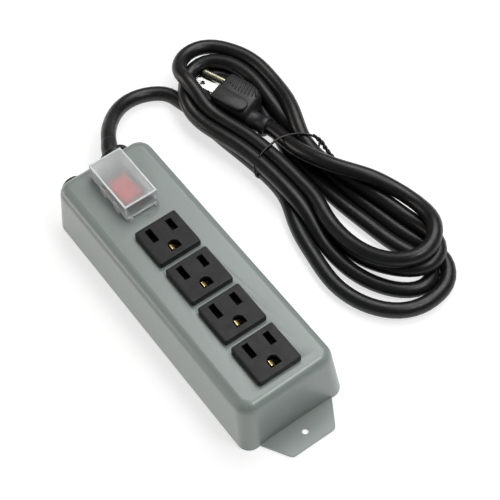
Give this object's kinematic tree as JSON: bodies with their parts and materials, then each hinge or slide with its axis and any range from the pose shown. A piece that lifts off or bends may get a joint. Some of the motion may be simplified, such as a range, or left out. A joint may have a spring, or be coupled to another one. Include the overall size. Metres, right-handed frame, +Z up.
{
  "type": "power strip",
  "caption": "Steel-cased power strip with grounded outlets, a guarded rocker switch, a reset button, mounting tabs and a cord tied in a hank.",
  "frame": {"origin": "middle of the housing's footprint, on the surface it stands on", "axes": "+X along the housing from the cord end to the outlet end, +Y to the side where the cord's hank lies, +Z up out of the outlets"},
  "size_m": [0.2579, 0.1702, 0.0478],
  "materials": {
    "housing_paint": "satin grey-green baked enamel",
    "fibre_board": "grey electrical fibre sheet",
    "outlet_black": "charcoal moulded plastic, fine matt",
    "black_moulding": "black moulded plastic",
    "gland_black": "black nylon, satin",
    "rocker_red": "translucent red moulded plastic",
    "guard_clear": "frosted clear polycarbonate",
    "contact_brass": "stamped brass",
    "nickel": "nickel-plated brass, bright",
    "zinc": "zinc-plated steel",
    "green_screw": "green-dyed earth screw",
    "cord_jacket": "black PVC jacket, soft sheen",
    "plug_black": "black moulded PVC",
    "tie_black": "black coated wire tie",
    "wire_black": "black insulated wire",
    "wire_white": "white insulated wire",
    "wire_green": "green insulated wire"
  },
  "bodies": {
    "root": {"housing_shell": "housing_paint", "base_plate": "housing_paint", "base_screw_1": "zinc", "base_screw_2": "zinc", "base_screw_3": "zinc", "base_screw_4": "zinc", "insulator_sheet": "fibre_board", "outlet_1": "outlet_black", "outlet_2": "outlet_black", "outlet_3": "outlet_black", "outlet_4": "outlet_black", "neutral_bus_bar": "nickel", "line_bus_bar": "contact_brass", "ground_bus_bar": "contact_brass", "switch_body": "black_moulding", "switch_terminal_line_in": "nickel", "switch_terminal_line_out": "nickel", "switch_terminal_lamp_neutral": "nickel", "breaker_body": "black_moulding", "breaker_nut": "gland_black", "breaker_terminal_1": "nickel", "breaker_terminal_2": "nickel", "strain_relief": "gland_black", "power_cord": "cord_jacket", "plug_body": "plug_black", "plug_blade_line": "nickel", "plug_blade_neutral": "nickel", "plug_ground_pin": "contact_brass", "cord_hank": "cord_jacket", "twist_tie": "tie_black", "ground_screw": "green_screw", "wire_line_in": "wire_black", "wire_breaker_to_switch": "wire_black", "wire_switch_to_bar": "wire_black", "wire_neutral": "wire_white", "wire_lamp_neutral": "wire_white", "wire_ground_in": "wire_green", "wire_ground_out": "wire_green"},
    "rocker": {"rocker": "rocker_red"},
    "guard": {"switch_guard": "guard_clear"},
    "reset": {"reset_button": "gland_black"}
  },
  "joints": [
    {"name": "rocker_tilt", "type": "hinge", "parent": "root", "child": "rocker", "pos_m": [-0.0616, 0, 0.0364], "axis": [0, 1, 0], "range_deg": [0, 18]},
    {"name": "guard_lift", "type": "slide", "parent": "root", "child": "guard", "axis": [0, 0, 1], "range_m": [0, 0.03]},
    {"name": "reset_press", "type": "slide", "parent": "root", "child": "reset", "axis": [1, 0, 0], "range_m": [0, 0.0025], "stiffness_N_per_m": 300, "springref_m": -0.002}
  ]
}
